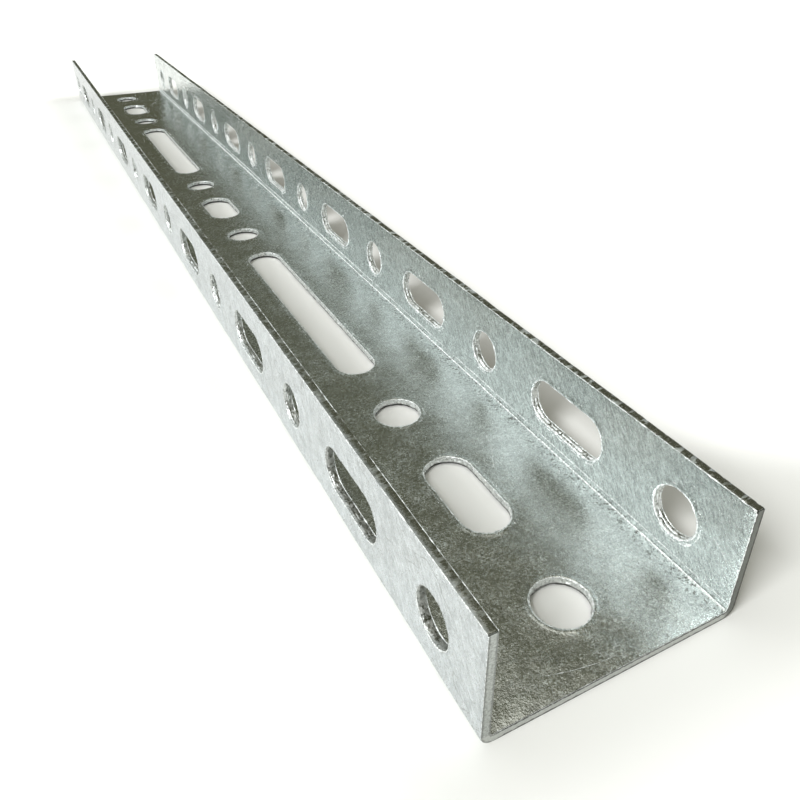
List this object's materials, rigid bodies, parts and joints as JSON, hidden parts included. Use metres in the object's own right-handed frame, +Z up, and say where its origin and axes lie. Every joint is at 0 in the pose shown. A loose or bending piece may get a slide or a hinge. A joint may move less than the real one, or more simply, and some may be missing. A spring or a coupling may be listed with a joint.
{
  "type": "perforated u-channel",
  "caption": "Galvanised steel U-channel, bent from sheet, with rows of round holes and slots punched through its web and both flanges",
  "frame": {"origin": "middle of the web's underside, the face that the channel lies on", "axes": "+X across the web to the right flange, +Y along the channel away from the end nearest in the picture, +Z up towards the open side"},
  "size_m": [0.065, 0.6, 0.031],
  "materials": {
    "zinc_coated_steel": "dull hot-dip zinc over sheet steel, with beads and burrs round the punched holes"
  },
  "bodies": {
    "root": {"perforated_channel": "zinc_coated_steel"}
  },
  "joints": []
}
